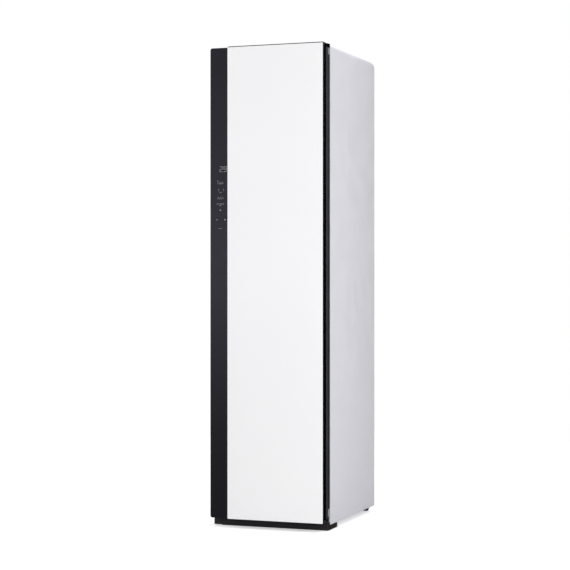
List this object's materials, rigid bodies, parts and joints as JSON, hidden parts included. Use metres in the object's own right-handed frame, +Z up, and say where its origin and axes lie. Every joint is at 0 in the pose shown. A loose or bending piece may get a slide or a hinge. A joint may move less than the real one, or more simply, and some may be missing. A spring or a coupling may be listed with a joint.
{
  "type": "clothes care steam cabinet",
  "caption": "Tall free-standing clothes care steam cabinet: full-height hinged door, touch strip down one side, hanging chamber with a moving hanger bar, pull-out water tanks.",
  "frame": {"origin": "on the floor, under the middle of the closed cabinet's bounding box", "axes": "+Z up, -Y towards the door's front, +X towards the door's hinge side"},
  "size_m": [0.47, 0.654, 1.85],
  "materials": {
    "white_glass": "gloss",
    "dark_glass": "gloss",
    "black_plastic": "satin",
    "grey_plastic": "satin",
    "pale_painted_steel": "satin",
    "zinc_sheet": "satin",
    "steel": "satin",
    "black_steel": "satin",
    "aluminium": "satin",
    "chamber_plastic": "satin",
    "insulation_foam": "matte",
    "rubber": "matte",
    "smoke_plastic": "gloss",
    "clear_plastic": "gloss",
    "circuit_board": "matte",
    "pad_cloth": "matte"
  },
  "bodies": {
    "cabinet": {"front_plinth": "black_plastic", "plinth_end_cover": "black_plastic", "top_hinge_cover": "black_plastic", "water_pump": "black_plastic", "drain_pump": "black_plastic", "power_inlet": "black_plastic", "outlet_grille": "grey_plastic", "steam_nozzle": "grey_plastic", "drive_housing": "grey_plastic", "tank_housing": "grey_plastic", "duct_tray": "grey_plastic", "fan_scroll": "grey_plastic", "control_box": "grey_plastic", "outer_case": "pale_painted_steel", "rear_panel": "zinc_sheet", "base_pan": "zinc_sheet", "top_hinge_bracket": "steel", "top_hinge_pin": "steel", "bottom_hinge_pin": "steel", "roller_axle_left": "steel", "roller_axle_right": "steel", "hanger_motor": "steel", "hanger_rail_front": "steel", "hanger_rail_rear": "steel", "fan_motor": "steel", "bottom_hinge_bracket": "black_steel", "compressor": "black_steel", "evaporator": "aluminium", "condenser": "aluminium", "steam_generator": "aluminium", "inner_liner": "chamber_plastic", "foam_insulation": "insulation_foam", "steam_hose": "rubber", "lamp_lens": "clear_plastic"},
    "door": {"door_frame": "black_plastic", "door_glass_panel": "white_glass", "control_strip_glass": "dark_glass", "display_board": "circuit_board", "door_top_cap": "black_plastic", "door_bottom_cap": "black_plastic", "door_liner": "grey_plastic", "door_gasket": "rubber", "press_pad": "pad_cloth", "press_hinge_pin": "steel"},
    "press_plate": {"press_plate": "chamber_plastic"},
    "press_latch": {"press_latch": "grey_plastic"},
    "crank": {"crank_disc": "grey_plastic"},
    "hanger": {"hanger_bar": "grey_plastic"},
    "fan": {"fan_impeller": "black_plastic"},
    "roller_left": {"rear_roller_left": "rubber"},
    "roller_right": {"rear_roller_right": "rubber"},
    "foot_left": {"levelling_foot_left": "rubber"},
    "foot_right": {"levelling_foot_right": "rubber"},
    "supply_tank": {"supply_tank": "smoke_plastic", "supply_tank_lid": "grey_plastic"},
    "drain_tank": {"drain_tank": "smoke_plastic", "drain_tank_lid": "grey_plastic"},
    "filter": {"lint_filter": "grey_plastic"},
    "aroma": {"aroma_kit": "grey_plastic"},
    "shelf": {"shelf_rack": "chamber_plastic"}
  },
  "joints": [
    {"name": "door_swing", "type": "hinge", "parent": "cabinet", "child": "door", "pos_m": [0.223, -0.292, 0], "axis": [0, 0, 1], "range_deg": [0, 105]},
    {"name": "press_plate_swing", "type": "hinge", "parent": "door", "child": "press_plate", "pos_m": [-0.151, -0.2544, 0], "axis": [0, 0, 1], "range_deg": [0, 90]},
    {"name": "press_latch_turn", "type": "hinge", "parent": "door", "child": "press_latch", "pos_m": [0.157, -0.2567, 1.1], "axis": [0, -1, 0], "range_deg": [0, 90]},
    {"name": "crank_turn", "type": "hinge", "parent": "cabinet", "child": "crank", "pos_m": [0, 0.003, 1.763], "axis": [0, 0, 1], "range_deg": [-90, 90]},
    {"name": "hanger_bar_slide", "type": "slide", "parent": "cabinet", "child": "hanger", "axis": [1, 0, 0], "range_m": [-0.015, 0.015]},
    {"name": "fan_spin", "type": "hinge", "parent": "cabinet", "child": "fan", "pos_m": [-0.02, 0.1163, 0.232], "axis": [0, 1, 0], "continuous": true},
    {"name": "roller_left_roll", "type": "hinge", "parent": "cabinet", "child": "roller_left", "pos_m": [-0.205, 0.303, 0.018], "axis": [1, 0, 0], "continuous": true},
    {"name": "roller_right_roll", "type": "hinge", "parent": "cabinet", "child": "roller_right", "pos_m": [0.205, 0.303, 0.018], "axis": [1, 0, 0], "continuous": true},
    {"name": "foot_left_turn", "type": "hinge", "parent": "cabinet", "child": "foot_left", "pos_m": [-0.193, -0.199, 0], "axis": [0, 0, 1], "continuous": true},
    {"name": "foot_right_turn", "type": "hinge", "parent": "cabinet", "child": "foot_right", "pos_m": [0.193, -0.199, 0], "axis": [0, 0, 1], "continuous": true},
    {"name": "supply_tank_pull", "type": "slide", "parent": "cabinet", "child": "supply_tank", "axis": [0, -1, 0], "range_m": [0, 0.035]},
    {"name": "drain_tank_pull", "type": "slide", "parent": "cabinet", "child": "drain_tank", "axis": [0, -1, 0], "range_m": [0, 0.035]},
    {"name": "lint_filter_lift", "type": "slide", "parent": "cabinet", "child": "filter", "axis": [0, 0, 1], "range_m": [0, 0.08]},
    {"name": "aroma_kit_lift", "type": "slide", "parent": "cabinet", "child": "aroma", "axis": [0, 0, 1], "range_m": [0, 0.08]},
    {"name": "shelf_lift", "type": "slide", "parent": "cabinet", "child": "shelf", "axis": [0, 0, 1], "range_m": [0, 0.08]}
  ],
  "couplings": [
    {"joint": "crank_turn", "follows": "hanger_bar_slide", "rad_per_m": 104.72}
  ]
}
